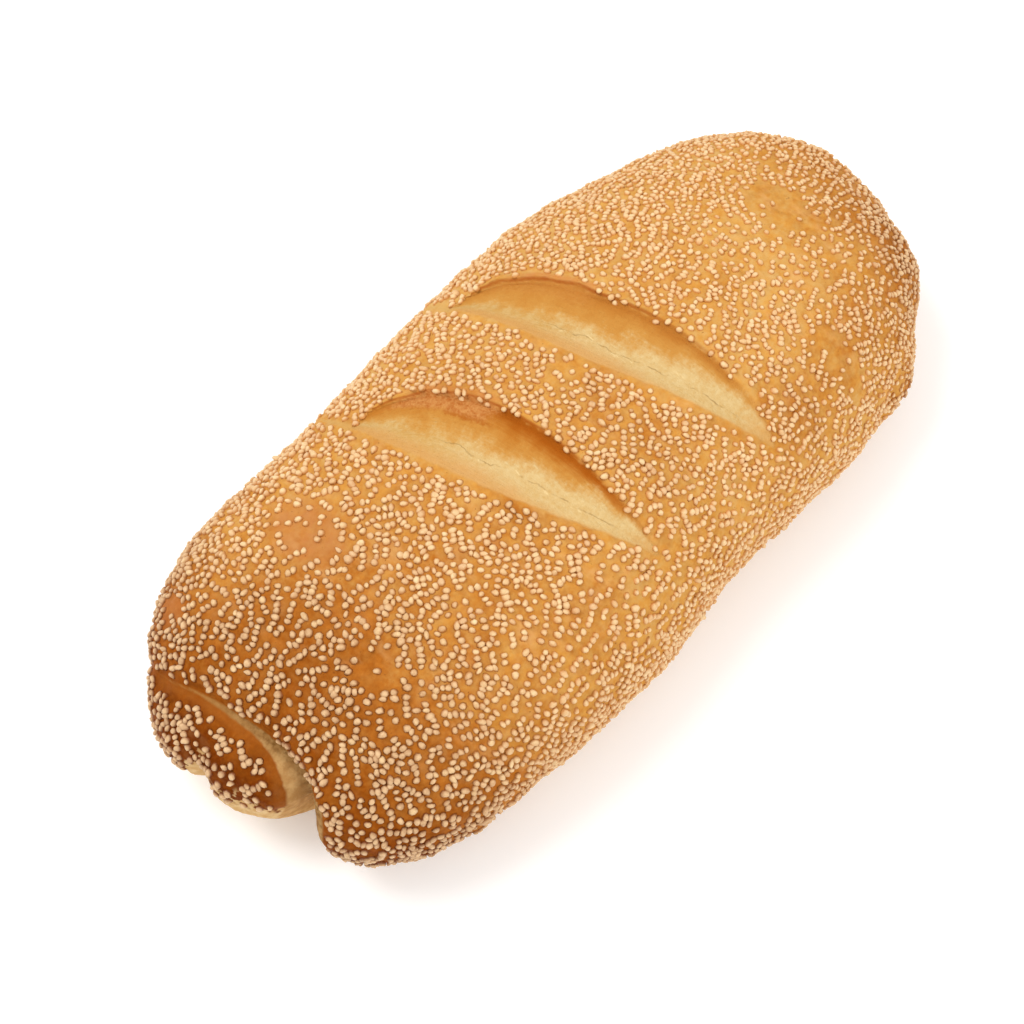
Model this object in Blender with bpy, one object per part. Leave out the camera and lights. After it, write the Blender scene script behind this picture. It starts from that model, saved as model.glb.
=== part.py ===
"""A long oval loaf with a sesame crust: two slashes across its top, a fold at its near end and
a flat base. It is one solid. Metres, +Z up, the long axis along X, the origin under the middle
of the base. The near end, with the fold, is at -X, and the loaf's left flank is at +Y."""
import bpy
import numpy as np

# The whole loaf
LENGTH = 0.307
WIDTH = 0.1437
CROWN = 0.047  # from the widest level up to the top of the crust
BELLY = 0.031  # from the widest level down to the base
BASE_CUT = 0.004  # how much further down the belly's curve would go if the base weren't flat
CELLS = (50, 24, 17)  # cells of the surface grid along the length, the width and the height

# How square the curves are: 2 is an ellipse, and more is squarer
NEAR_END_POWER = 2.9
FAR_END_POWER = 2.7
CROWN_POWER = 2.2
BELLY_POWER = 3.0

# What makes the outline uneven
FAR_END_NARROWING = 0.032  # share of the width lost from the middle to the far end
SIDEWAYS_DRIFT = 0.003  # how far the far end lies to the left of the middle
LEFT_WAIST = dict(station=-0.35, reach=0.25, depth=0.0069)  # stations run from -1 to 1
RIGHT_WAIST = dict(station=0.19, reach=0.22, depth=0.0054)

# The two slashes: each opens from a curved cut towards the far end. The bow, per metre, is how the
# cut bends, and the fall is the power that says how fast the opening narrows to its right tip.
CUT_SLOPE = -0.36  # how the cut runs to the far end as it goes right
SLASHES = (
    dict(middle=0.0207, bow=1.9, left_tip=0.055, right_tip=-0.054, opening=0.0254, fall=0.8, depth=0.0030),
    dict(middle=-0.0374, bow=2.8, left_tip=0.044, right_tip=-0.056, opening=0.0280, fall=1.0, depth=0.0034),
)
SLASH_RISE = 0.5  # the power that says how fast the opening widens from its left tip
ROLL_HEIGHT = 0.0016  # the rounded roll of crumb along the middle of the far side
ROLL_PLACE = 0.72  # shares of the opening
ROLL_REACH = 0.17
LIP_HEIGHT = 0.0022  # step of crust along the far edge of a slash
LIP_REACH = 0.007
LIP_LEAN = 0.0012  # how far that edge leans over the slash
LIP_RISE = 0.0005  # half the distance over which it steps up at the left tip
LIP_SOFTENING = 0.0014  # how much more that is at the right tip
LIP_FADE = 0.5  # share of the lip that is gone at the right tip
LIP_ENDS = 0.6  # share of the widest opening at which the lip has its full height
UNDERCUT = 0.0012  # the gutter below the lip
UNDERCUT_REACH = 0.07

# Grooves that follow a curve on the crust. Each stop is a place, the groove's depth there, and
# how wide its two banks are: the steep one, then the gentle one to the left of the curve's way.
# The fold round the near end runs across the end and down its face.
FOLD_STOPS = (
    ((-0.134, 0.050, 0.024), 0.0006, 0.0026, 0.0030),
    ((-0.143, 0.034, 0.042), 0.0014, 0.0032, 0.0040),
    ((-0.140, 0.014, 0.053), 0.0024, 0.0032, 0.0052),
    ((-0.137, -0.010, 0.056), 0.0045, 0.0032, 0.0065),
    ((-0.138, -0.026, 0.053), 0.0085, 0.0036, 0.0080),
    ((-0.1445, -0.034, 0.044), 0.0145, 0.0042, 0.0080),
    ((-0.1475, -0.036, 0.028), 0.0190, 0.0046, 0.0080),
    ((-0.1415, -0.036, 0.014), 0.0190, 0.0046, 0.0080),
    ((-0.122, -0.033, 0.004), 0.0120, 0.0046, 0.0070),
)
# A short seam low on the right flank of the far end
SEAM_STOPS = (
    ((0.1035, -0.0595, 0.040), 0.0004, 0.0020, 0.0024),
    ((0.0990, -0.0635, 0.030), 0.0026, 0.0020, 0.0032),
    ((0.0950, -0.0650, 0.020), 0.0040, 0.0022, 0.0036),
    ((0.0920, -0.0620, 0.010), 0.0020, 0.0022, 0.0030),
)
STEPS_PER_STOP = 20
GROOVE_REACH = 0.030  # the crust further than this from the curve doesn't follow it

# Rounded swellings and dents of the crust: place, radii along X, Y and Z, and height
BULGES = (
    ((-0.150, 0.016, 0.030), (0.020, 0.016, 0.018), 0.0036),  # left part of the toe
    ((-0.150, -0.008, 0.026), (0.014, 0.008, 0.016), 0.0010),  # middle of the toe
    ((-0.149, -0.023, 0.034), (0.018, 0.012, 0.024), -0.0048),  # right part of the toe
    ((-0.146, -0.033, 0.008), (0.018, 0.010, 0.020), -0.0170),  # mouth of the fold
    ((-0.150, -0.047, 0.026), (0.012, 0.010, 0.022), -0.0034),  # end face right of the fold
    ((-0.154, 0.0020, 0.022), (0.012, 0.0034, 0.014), -0.0044),  # nick in the toe
    ((-0.116, -0.066, 0.030), (0.032, 0.020, 0.026), 0.0030),  # corner beyond that
    ((0.110, -0.060, 0.023), (0.017, 0.014, 0.018), 0.0066),  # crust beyond the seam
    ((0.082, -0.066, 0.024), (0.014, 0.012, 0.018), 0.0026),  # crust before the seam
    ((0.140, -0.035, 0.038), (0.014, 0.012, 0.018), 0.0016),  # corner of the far end
    ((0.152, 0.016, 0.040), (0.020, 0.020, 0.024), 0.0022),  # left part of the far end
    ((0.062, 0.000, 0.078), (0.026, 0.060, 0.040), 0.0012),  # shoulder beyond the far slash
    ((-0.062, -0.004, 0.078), (0.020, 0.050, 0.040), 0.0010),  # shoulder before the near slash
)

# The broad waves of the crust: waves per metre along X, Y and Z, their shift, and their height
WAVES = (
    ((11.0, 7.0, 4.0), 0.4, 0.0006),
    ((-9.0, 15.0, 7.0), 1.9, 0.0004),
    ((19.0, -11.0, 9.0), 3.1, 0.0002),
)

# Where the grid's lines crowd together, as (place from -1 to 1, reach, how many times more)
LENGTH_CROWDS = ((-0.95, 0.12, 0.5), (-0.16, 0.12, 0.8), (0.24, 0.12, 0.8))
WIDTH_CROWDS = ((-0.42, 0.16, 1.8),)
HEIGHT_CROWDS = ((0.52, 0.16, 2.0),)
# How the grid's lines keep to the edges of the slashes
EDGE_LINE_GAP = 0.9  # the far edge's line crosses the middle this share of the opening away
EDGE_LINE_LEAST = 0.35  # and never comes nearer to the cut than this share of that
EDGE_LINE_FADE = 0.020  # height above the widest level over which the lines take this up
EDGE_LINE_END = 0.55  # beyond this share of the length they run straight again
EDGE_LINE_STEPS = 8

CRUST_COLOUR = (0.62, 0.33, 0.11, 1.0)
CRUST_ROUGHNESS = 0.6


def clear_scene():
    for old in list(bpy.data.objects):
        bpy.data.objects.remove(old, do_unlink=True)


def box_lattice(cells):
    """The surface of a box from -1 to 1, cut into cells: its corners and its outward quads."""
    counts = np.array(cells)
    sides = []
    for axis in range(3):
        u_axis = (axis + 1) % 3
        v_axis = (axis + 2) % 3
        u, v = np.meshgrid(np.arange(counts[u_axis] + 1), np.arange(counts[v_axis] + 1), indexing="ij")
        for end in (0, 1):
            grid = np.zeros(u.shape + (3,), dtype=int)
            grid[..., u_axis] = u
            grid[..., v_axis] = v
            grid[..., axis] = end * counts[axis]
            quads = np.stack([grid[:-1, :-1], grid[1:, :-1], grid[1:, 1:], grid[:-1, 1:]], axis=2)
            sides.append(quads if end else quads[:, :, ::-1])
    every = np.concatenate([side.reshape(-1, 3) for side in sides])
    corners, index = np.unique(every, axis=0, return_inverse=True)
    return corners / counts * 2 - 1, index.reshape(-1, 4)


def crowded(places, crowds):
    """Even places from -1 to 1 moved so that they crowd together where asked."""
    fine = np.linspace(-1, 1, 2001)
    density = np.ones_like(fine)
    for place, reach, more in crowds:
        density += more * np.exp(-((fine - place) / reach) ** 2)
    total = np.concatenate([[0], np.cumsum((density[1:] + density[:-1]) / 2)])
    return np.interp((places + 1) / 2, total / total[-1], fine)


def slash_edges(y, slash):
    """Share of the way from a slash's left tip to its right one, its cut's X, and its opening."""
    share = (slash["left_tip"] - y) / (slash["left_tip"] - slash["right_tip"])
    inside = np.clip(share, 0, 1)
    peak = SLASH_RISE / (SLASH_RISE + slash["fall"])
    most = peak ** SLASH_RISE * (1 - peak) ** slash["fall"]
    opening = slash["opening"] * inside ** SLASH_RISE * (1 - inside) ** slash["fall"] / most
    return share, slash["middle"] + CUT_SLOPE * y + slash["bow"] * y * y, opening


def along_slashes(x, y):
    """Where a grid line that crosses the middle at x runs, if it keeps to the slashes' edges."""
    before, after = [-LENGTH / 2], [np.full_like(y, -LENGTH / 2)]
    for slash in sorted(SLASHES, key=lambda slash: slash["middle"]):
        _, cut, opening = slash_edges(y, slash)
        usual = EDGE_LINE_GAP * slash["opening"]
        before += [slash["middle"], slash["middle"] + usual]
        after += [cut, cut + np.maximum(opening, EDGE_LINE_LEAST * usual)]
    before.append(LENGTH / 2)
    after.append(np.full_like(y, LENGTH / 2))
    moved = x.copy()
    for low, high, low_to, high_to in zip(before, before[1:], after, after[1:]):
        share = (x - low) / (high - low)
        moved = np.where((share >= 0) & (share <= 1), low_to + share * (high_to - low_to), moved)
    return moved


def loaf_directions(lattice):
    """The lattice crowded where the crust has detail, its lines running along the slashes."""
    crowds = (LENGTH_CROWDS, WIDTH_CROWDS, HEIGHT_CROWDS)
    directions = np.stack([crowded(line, crowd) for line, crowd in zip(lattice.T, crowds)], axis=1)
    plain, _ = plain_loaf(directions)
    middle, _ = plain_loaf(directions * (1, 0, 0) + (0, 0, 1))
    near_slashes = smooth_step(plain[:, 2], BELLY, BELLY + EDGE_LINE_FADE)
    near_slashes *= 1 - smooth_step(np.abs(directions[:, 0]), EDGE_LINE_END, 1)
    for _ in range(EDGE_LINE_STEPS):
        points, _ = plain_loaf(directions)
        slanted = along_slashes(middle[:, 0], points[:, 1])
        wanted = plain[:, 0] + near_slashes * (slanted - plain[:, 0])
        directions[:, 0] += (wanted - points[:, 0]) / (LENGTH / 2)
    return directions


def smooth_step(value, low, high):
    share = np.clip((value - low) / (high - low), 0, 1)
    return share * share * (3 - 2 * share)


def plain_loaf(directions):
    """Points and outward normals of the loaf before its slashes, folds and waves."""
    a, b, c = directions.T
    power = np.where(a < 0, NEAR_END_POWER, FAR_END_POWER)
    rise_power = np.where(c > 0, CROWN_POWER, BELLY_POWER)
    half_height = np.where(c > 0, CROWN, BELLY + BASE_CUT)
    ring = (np.abs(a) ** power + np.abs(b) ** power) ** (1 / power)
    scale = (ring ** rise_power + np.abs(c) ** rise_power) ** (-1 / rise_power)
    x, y, z, ring = a * scale, b * scale, c * scale, ring * scale

    round_off = np.maximum(ring, 1e-6) ** (rise_power - power)
    normals = np.stack([
        round_off * np.abs(x) ** (power - 1) * np.sign(x) / (LENGTH / 2),
        round_off * np.abs(y) ** (power - 1) * np.sign(y) / (WIDTH / 2),
        np.abs(z) ** (rise_power - 1) * np.sign(z) / half_height,
    ], axis=1)
    normals /= np.linalg.norm(normals, axis=1, keepdims=True)

    waist = np.where(b > 0, waist_depth(x, LEFT_WAIST), -waist_depth(x, RIGHT_WAIST))
    across = WIDTH / 2 * y * (1 - FAR_END_NARROWING * x) - np.abs(y) * waist + SIDEWAYS_DRIFT * x
    height = np.maximum(BELLY + half_height * z, 0)
    return np.stack([LENGTH / 2 * x, across, height], axis=1), normals


def waist_depth(station, waist):
    return waist["depth"] * np.exp(-((station - waist["station"]) / waist["reach"]) ** 2)


def slash_coordinates(points, slash):
    """Share of the way from the left tip to the right, distance past the cut, and the opening."""
    share, cut, opening = slash_edges(points[:, 1], slash)
    return share, points[:, 0] - cut, np.where(points[:, 2] > BELLY, opening, 0)


def slash_relief(points, slash):
    """How a slash moves the crust along its normal, and how far it leans it towards the cut."""
    share, past_cut, opening = slash_coordinates(points, slash)
    strength = opening / slash["opening"]
    across = np.clip(past_cut / np.maximum(opening, 1e-6), 0, 1)
    hollow = -slash["depth"] * np.sin(np.pi * across)
    roll = ROLL_HEIGHT * np.exp(-((across - ROLL_PLACE) / ROLL_REACH) ** 2)
    beyond = past_cut - opening
    rise = LIP_RISE + LIP_SOFTENING * np.clip(share, 0, 1)
    lip = smooth_step(beyond, -rise, rise)
    inside = smooth_step(across, 0, 0.1) * (1 - lip)
    gutter = -UNDERCUT * np.exp(-((across - 1) / UNDERCUT_REACH) ** 2)
    lip *= np.exp(-np.maximum(beyond, 0) / LIP_REACH) * smooth_step(strength, 0, LIP_ENDS)
    lip *= 1 - LIP_FADE * np.clip(share, 0, 1)
    return strength * (hollow + inside * (roll + gutter)) + LIP_HEIGHT * lip, -LIP_LEAN * lip * lip


def smooth_curve(stops):
    """Places and sizes along a smooth curve through the stops."""
    values = np.array([place + tuple(sizes) for place, *sizes in stops])
    padded = np.concatenate([2 * values[:1] - values[1:2], values, 2 * values[-1:] - values[-2:-1]])
    t = np.linspace(0, 1, STEPS_PER_STOP, endpoint=False)[:, None]
    pieces = []
    for before, start, end, after in zip(padded, padded[1:], padded[2:], padded[3:]):
        bend = 2 * before - 5 * start + 4 * end - after
        twist = 3 * start - before - 3 * end + after
        pieces.append(start + 0.5 * t * (end - before + t * (bend + t * twist)))
    pieces.append(values[-1:])
    return np.concatenate(pieces)


def groove_relief(points, normals, stops):
    """How a groove that follows a curve on the crust moves the crust along its normal."""
    curve = smooth_curve(stops)
    places, ways = curve[:, :3], np.gradient(curve[:, :3], axis=0)
    gaps = np.linalg.norm(points[:, None, :] - places[None], axis=2)
    nearest = np.argmin(gaps, axis=1)
    gap = points - places[nearest]
    gap -= np.sum(gap * normals, axis=1, keepdims=True) * normals
    side = np.sum(gap * np.cross(ways[nearest], normals), axis=1)
    depth, steep_bank, gentle_bank = curve[nearest, 3:].T
    bank = np.where(side > 0, gentle_bank, steep_bank)
    away = np.maximum(np.linalg.norm(gap, axis=1), gaps.min(axis=1) - GROOVE_REACH)
    return -depth * np.exp(-(away / bank) ** 2)


def bulge_relief(points, place, radii, height):
    gap = (points - np.array(place)) / np.array(radii)
    return height * np.exp(-np.sum(gap * gap, axis=1))


def wave_relief(points, waves_per_metre, shift, height):
    return height * np.sin(2 * np.pi * points @ np.array(waves_per_metre) + shift)


def crust_points(directions):
    """The finished surface of the loaf in the given directions."""
    points, normals = plain_loaf(directions)
    relief = sum(wave_relief(points, *wave) for wave in WAVES)
    relief += sum(bulge_relief(points, *bulge) for bulge in BULGES)
    relief += groove_relief(points, normals, FOLD_STOPS)
    relief += groove_relief(points, normals, SEAM_STOPS)
    lean = np.zeros(len(points))
    for slash in SLASHES:
        raised, leaned = slash_relief(points, slash)
        relief += raised
        lean += leaned
    moves = normals * relief[:, None]
    moves[:, 0] += lean
    moves[:, 2] *= normals[:, 2] > 0
    return points + moves


def centred(points):
    """The loaf moved so that the origin lies under the middle of its box, on the base."""
    low, high = points.min(axis=0), points.max(axis=0)
    return points - np.array([(low[0] + high[0]) / 2, (low[1] + high[1]) / 2, low[2]])


def crust_material():
    material = bpy.data.materials.new("crust")
    material.use_nodes = True
    shader = material.node_tree.nodes["Principled BSDF"]
    shader.inputs["Base Color"].default_value = CRUST_COLOUR
    shader.inputs["Roughness"].default_value = CRUST_ROUGHNESS
    shader.inputs["Metallic"].default_value = 0.0
    return material


def build_loaf():
    lattice, quads = box_lattice(CELLS)
    points = centred(crust_points(loaf_directions(lattice)))
    mesh = bpy.data.meshes.new("loaf")
    mesh.from_pydata(points.tolist(), [], quads.tolist())
    mesh.shade_smooth()
    mesh.materials.append(crust_material())
    loaf = bpy.data.objects.new("loaf", mesh)
    bpy.context.scene.collection.objects.link(loaf)
    return loaf


clear_scene()
build_loaf()
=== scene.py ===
"""The looks of a long sesame loaf: its fine crust, with two slashes and a folded end, and its
sesame seeds. Metres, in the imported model's frame: +Z up, the near end, with the fold, at -X,
and the left flank at +Y."""
import math
import bpy
import numpy as np
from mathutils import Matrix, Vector
from mathutils.kdtree import KDTree


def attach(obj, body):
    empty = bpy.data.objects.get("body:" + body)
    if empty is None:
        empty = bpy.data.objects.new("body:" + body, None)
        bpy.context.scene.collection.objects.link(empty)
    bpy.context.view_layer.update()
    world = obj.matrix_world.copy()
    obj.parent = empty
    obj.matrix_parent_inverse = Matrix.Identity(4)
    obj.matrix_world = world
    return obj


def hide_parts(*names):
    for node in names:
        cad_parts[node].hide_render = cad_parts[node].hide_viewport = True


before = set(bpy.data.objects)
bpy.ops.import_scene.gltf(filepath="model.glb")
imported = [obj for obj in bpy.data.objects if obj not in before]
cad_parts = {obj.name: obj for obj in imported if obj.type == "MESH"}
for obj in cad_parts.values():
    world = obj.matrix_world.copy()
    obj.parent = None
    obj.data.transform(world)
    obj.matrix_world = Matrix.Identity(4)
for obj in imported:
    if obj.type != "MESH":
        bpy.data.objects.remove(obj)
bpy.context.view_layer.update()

MM = 0.001

# ---------------- the loaf's form, as in CAD
LENGTH = 0.307
WIDTH = 0.1437
CROWN = 0.047  # from the widest level up to the top of the crust
BELLY = 0.031  # from the widest level down to the base
BASE_CUT = 0.004  # what the flat base cuts off the belly's curve
CELLS = (240, 104, 72)  # of the surface grid along the length, width and height

NEAR_END_POWER = 2.9  # how square the curves are: 2 is an ellipse
FAR_END_POWER = 2.7
CROWN_POWER = 2.2
BELLY_POWER = 3.0

FAR_END_NARROWING = 0.032  # share of the width lost from the middle to the far end
SIDEWAYS_DRIFT = 0.003  # how far the far end lies to the left of the middle
LEFT_WAIST = (-0.35, 0.25, 0.0069)  # station from -1 to 1, reach and depth
RIGHT_WAIST = (0.19, 0.22, 0.0054)

CUT_SLOPE = -0.36  # how a slash's cut runs to the far end as it goes right
SLASHES = (
    dict(middle=0.0207, bow=1.9, left_tip=0.055, right_tip=-0.054, opening=0.0254, fall=0.8, depth=0.003),
    dict(middle=-0.0374, bow=2.8, left_tip=0.044, right_tip=-0.056, opening=0.028, fall=1.0, depth=0.0034),
)
SLASH_RISE = 0.5  # power with which the opening widens from its left tip
ROLL_HEIGHT = 0.0016  # of the roll of crumb below the far edge
ROLL_PLACE = 0.72  # shares of the opening
ROLL_REACH = 0.17
LIP_HEIGHT = 0.0022  # step of crust along the far edge of a slash
LIP_REACH = 0.007
LIP_LEAN = 0.0012  # how far that edge leans over the slash
LIP_RISE = 0.0005  # half the width of the step at the left tip
LIP_SOFTENING = 0.0014  # how much more that is at the right tip
LIP_FADE = 0.5  # share of the lip that is gone at the right tip
LIP_ENDS = 0.6  # share of the widest opening where it is at its full height
UNDERCUT = 0.0012  # the gutter below the lip
UNDERCUT_REACH = 0.07
ROLL_START = 0.1  # the roll begins over this share

# Grooves along a curve on the crust, in millimetres. Each stop is a place, the groove's depth,
# and the widths of its steep bank and of its gentle one, which is on the curve's left.
FOLD_STOPS = (
    ((-134, 50, 24), 0.6, 2.6, 3),
    ((-143, 34, 42), 1.4, 3.2, 4),
    ((-140, 14, 53), 2.4, 3.2, 5.2),
    ((-137, -10, 56), 4.5, 3.2, 6.5),
    ((-138, -26, 53), 8.5, 3.6, 8),
    ((-144.5, -34, 44), 14.5, 4.2, 8),
    ((-147.5, -36, 28), 19, 4.6, 8),
    ((-141.5, -36, 14), 19, 4.6, 8),
    ((-122, -33, 4), 12, 4.6, 7),
)
SEAM_STOPS = (
    ((103.5, -59.5, 40), 0.4, 2, 2.4),
    ((99, -63.5, 30), 2.6, 2, 3.2),
    ((95, -65, 20), 4, 2.2, 3.6),
    ((92, -62, 10), 2, 2.2, 3),
)
STEPS_PER_STOP = 20
GROOVE_REACH = 0.030  # the crust further than this from the curve doesn't follow it

# Rounded swellings and dents of the crust, in millimetres: place, radii along X, Y and Z, height
BULGES = (
    ((-150, 16, 30), (20, 16, 18), 3.6),  # left of the toe
    ((-150, -8, 26), (14, 8, 16), 1),  # middle of the toe
    ((-149, -23, 34), (18, 12, 24), -4.8),  # right of the toe
    ((-146, -33, 8), (18, 10, 20), -17),  # mouth of the fold
    ((-150, -47, 26), (12, 10, 22), -3.4),  # end face right of the fold
    ((-154, 2, 22), (12, 3.4, 14), -4.4),  # nick in the toe
    ((-116, -66, 30), (32, 20, 26), 3),  # corner beyond that
    ((110, -60, 23), (17, 14, 18), 6.6),  # crust beyond the seam
    ((82, -66, 24), (14, 12, 18), 2.6),  # crust before the seam
    ((140, -35, 38), (14, 12, 18), 1.6),  # corner of the far end
    ((152, 16, 40), (20, 20, 24), 2.2),  # left of the far end
    ((62, 0, 78), (26, 60, 40), 1.2),  # shoulder beyond the far slash
    ((-62, -4, 78), (20, 50, 40), 1),  # shoulder before the near slash
)
# Broad waves of the crust: waves per metre along X, Y and Z, shift, and height
WAVES = (
    ((11.0, 7.0, 4.0), 0.4, 0.0006),
    ((-9.0, 15.0, 7.0), 1.9, 0.0004),
    ((19.0, -11.0, 9.0), 3.1, 0.0002),
)

# Where the grid's lines crowd together: place from -1 to 1, reach, and how much
LENGTH_CROWDS = ((-0.95, 0.12, 0.5), (-0.16, 0.12, 0.8), (0.24, 0.12, 0.8))
WIDTH_CROWDS = ((-0.42, 0.16, 1.8),)
HEIGHT_CROWDS = ((0.52, 0.16, 2.0),)
# How the grid's lines keep to the edges of the slashes
EDGE_LINE_GAP = 0.9  # the far edge's line crosses the middle at this share of the opening
EDGE_LINE_LEAST = 0.35  # and stays beyond this share of that
EDGE_LINE_FADE = 0.020  # height over which the lines take this up
EDGE_LINE_END = 0.55  # beyond this share of the length they run straight
EDGE_LINE_STEPS = 8

# ---------------- finer relief than in CAD
# Wavelength, random seed and height of the puckers of the crust
PUCKERS = ((0.014, 11, 0.00022), (0.006, 12, 0.00012), (0.0034, 13, 0.00007))
SLASH_SMOOTHNESS = 0.8  # share of the puckers that the slashes don't have
SLASH_RIM = 0.002  # how far inside a slash that is reached
TAIL_DEPTH = 0.0006  # the cut runs on past its left tip as a fine crease
TAIL_WIDTH = 0.0012
TAIL_LENGTH = 0.2  # share of the cut's length
TAIL_BARENESS = 0.002  # half the width of the strip without seeds along it

# How brown the crust is, from 0 to 1: in the middle, what the ends add, and patches: place,
# radii in millimetres, and what they add. Toward the near end, and in the first patch on its
# end face, the darkening is partly browning and partly painted shade.
BROWNING = 0.45
BROWNING_AND_SHADE_ALONG = -0.1
NEAR_END_BROWNING_AND_SHADE = 0.24
NEAR_END_SPAN = (0.35, 0.9)  # shares of the half length
BROWNED_PATCHES = (
    ((-152, 0, 30), (16, 50, 30), 0.2),
    ((-130, -58, 26), (34, 22, 30), 0.1),
    ((20, 70, 45), (110, 26, 34), -0.15),
    ((100, 10, 78), (46, 34, 30), -0.04),
    ((112, 4, 65), (12, 20, 20), 0.1),
    ((-8, -56, 62), (6, 4, 20), 0.03),
    ((120, -45, 55), (40, 22, 34), 0.13),
    ((142, -22, 54), (20, 50, 30), 0.24),
    ((-34, -18, 77), (4, 7, 20), 0.16),
    ((-100, 40, 60), (30, 20, 30), -0.16),
    ((-97, -22, 68), (10, 11, 20), 0.02),
    ((84, -48, 62), (10, 10, 20), 0.08),
    ((62, -52, 58), (12, 14, 20), 0.12),
    ((10, -26, 74), (10, 26, 20), 0.07),
    ((108, -62, 24), (7, 10, 8), 0.4),
    ((30, -70, 40), (90, 20, 30), -0.07),
)
# Reddish patches in the same way, and how red they are
RED_PATCHES = (
    ((-83, 26, 70), (10, 15, 20), 0.7),
    ((-127, 44, 49), (6, 8, 12), 0.6),
    ((108, -62, 24), (6, 9, 8), 0.4),
)
# Patches with few seeds: place, radii, and the share of the seeds that stay
BARE_PATCHES = (
    ((112, 4, 65), (9, 14, 20), 0.1),
    ((85, -47, 62), (6, 12, 20), 0.35),
    ((-8, -56, 62), (5, 4, 20), 0.5),
    ((-83, 26, 70), (7, 12, 20), 0.5),
    ((-98, -23, 68), (6, 7, 20), 0.15),
    ((-126, 43, 50), (4, 6, 10), 0.3),
    ((108, -62, 24), (5, 8, 7), 0.2),
)
# Patches where the rows of seeds lie further apart: place, radii, and how much further
SPARSE_PATCHES = (
    ((97, -3, 69), (28, 24, 30), 0.5),
    ((79, -45, 63), (14, 14, 20), 0.4),
    ((113, -25, 62), (18, 18, 30), 0.25),
    ((-88, 26, 69), (18, 18, 24), 0.3),
    ((-96, -4, 70), (16, 14, 20), 0.15),
    ((-34, -56, 62), (26, 14, 20), 0.28),
    ((-13, -55, 63), (12, 12, 20), 0.25),
    ((-152, -18, 36), (14, 14, 18), 0.4),
)
SEEDS_END = 0.0045  # height below which there are no seeds
CUT_STRIP = 0.001  # how far the seeds reach past the cut
EDGE_STRAYING = 0.0005  # how unevenly the seeds end along the slashes
EDGE_WAVE = 0.005
SPARSE_WAVE = 0.016  # size of the random sparse patches
SPARSE_FROM = (0.5, 1.6)  # values of their random field from rim to middle
SPARSE_WAVES = 0.35  # and how much further apart the rows are in them
SPARSE_RIGHT = 0.08  # how much further apart they are past the left flank
LEFT_FLANK = 0.040  # its distance from the middle
LIP_STRIP = 0.0002  # the bare strip past the far edge of a slash
FAR_STRIP = 0.0028  # what the far slash adds, between these shares of its length
FAR_STRIP_BEGINS = (0.08, 0.12)
FAR_STRIP_ENDS = (0.24, 0.32)
BARE_RIM = (0.25, 0.5)  # from the rim of a bare patch to where it is barest
VALLEY_BARENESS = 0.0016  # how far from the fold's valley the seeds stay
UNDERSIDE_SEEDS = 0.015  # share of the seeds that the pale underside has
UNDERSIDE_RIM = (-0.006, 0.001)  # heights past its edge between which the seeds set in

# ---------------- the sesame seeds
SEED_LENGTH = 0.0023
SEED_WIDTH = 0.0018
SEED_HEIGHT = 0.001  # above the crust
SEED_SIDES = 8
SEED_EGG = 0.14  # how much blunter one end is than the other
SEED_FAR_SHRINKING = 0.12  # the share by which they are smaller at the far end
# The seed's rings from the crust up: how far out, and share of the height. The first is the
# edge of a ring of painted contact shade, over crust browned there, around the seed's foot.
SEED_RINGS = ((1.26, -0.10), (1.00, 0.12), (0.99, 0.46), (0.64, 0.88))
SEED_SHADES = (0.0, 0.14, 0.5, 0.85)  # how pale the seed is at each of them: paler on top and darker down the sides, partly toasting and partly painted shade
SEED_FOOT = -0.3  # its lowest point, as a share of the height
SEED_CANDIDATES = 150000
SEED_SPACING = 0.00156  # from seed to seed along a row
ROW_GAP = 0.00218  # from row to row, where they are closest
ROW_SEEDS = 4.0  # how many more seeds than one a row has on average
ROW_SWIRL = 0.030
ROW_SCATTER = 0.3
ROW_WAY = np.array((0.88, 0.48, 0.0))  # which way most rows run
ROW_WAY_SHARES = (0.3, 1.0)  # how much they keep to it at the near end, and beyond
ROW_WAY_TURN = (-0.09, -0.03)  # where the one becomes the other
ROW_STEP = 1.12  # where the next seed of a row is looked for, in spacings
ROW_SEARCH = 0.42  # and how far around there
ROW_STRAIGHTNESS = 0.82
# How much the seeds differ, also in how far they turn from lying across their row
SPREADS = dict(measure=0.09, size=0.07, turn=0.6, outline=0.09, lean=0.18, slope=0.30, shade=0.10)

# ---------------- camera and studio
# Azimuth and elevation in degrees, distance, and target
CAMERA_VIEW = (-44.62, 65.0, 0.70, (-0.0217, -0.0025, 0.035))
CAMERA_LENS = 74.9
SENSOR_WIDTH = 36
# Name, azimuth and elevation in degrees, distance, size and power of each light
LIGHTS = (("key", -150, 62, 1.4, 0.7, 8), ("fill", 10, 42, 1.4, 1.2, 5.5))
WORLD_COLOUR = (1.0, 0.995, 0.985, 1)
WORLD_STRENGTH = 0.86
FLOOR_HALF_SIZE = 12.0
FLOOR_COLOUR = (0.94, 0.94, 0.94, 1)
FLOOR_GLOW = 0.12  # keeps the floor as white as the photo's background


def srgb(red, green, blue):
    """A screen's colour, from 0 to 255, in the linear values of shaders."""
    def linear(value):
        share = value / 255
        return share / 12.92 if share <= 0.04045 else ((share + 0.055) / 1.055) ** 2.4
    return (linear(red), linear(green), linear(blue), 1.0)


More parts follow.
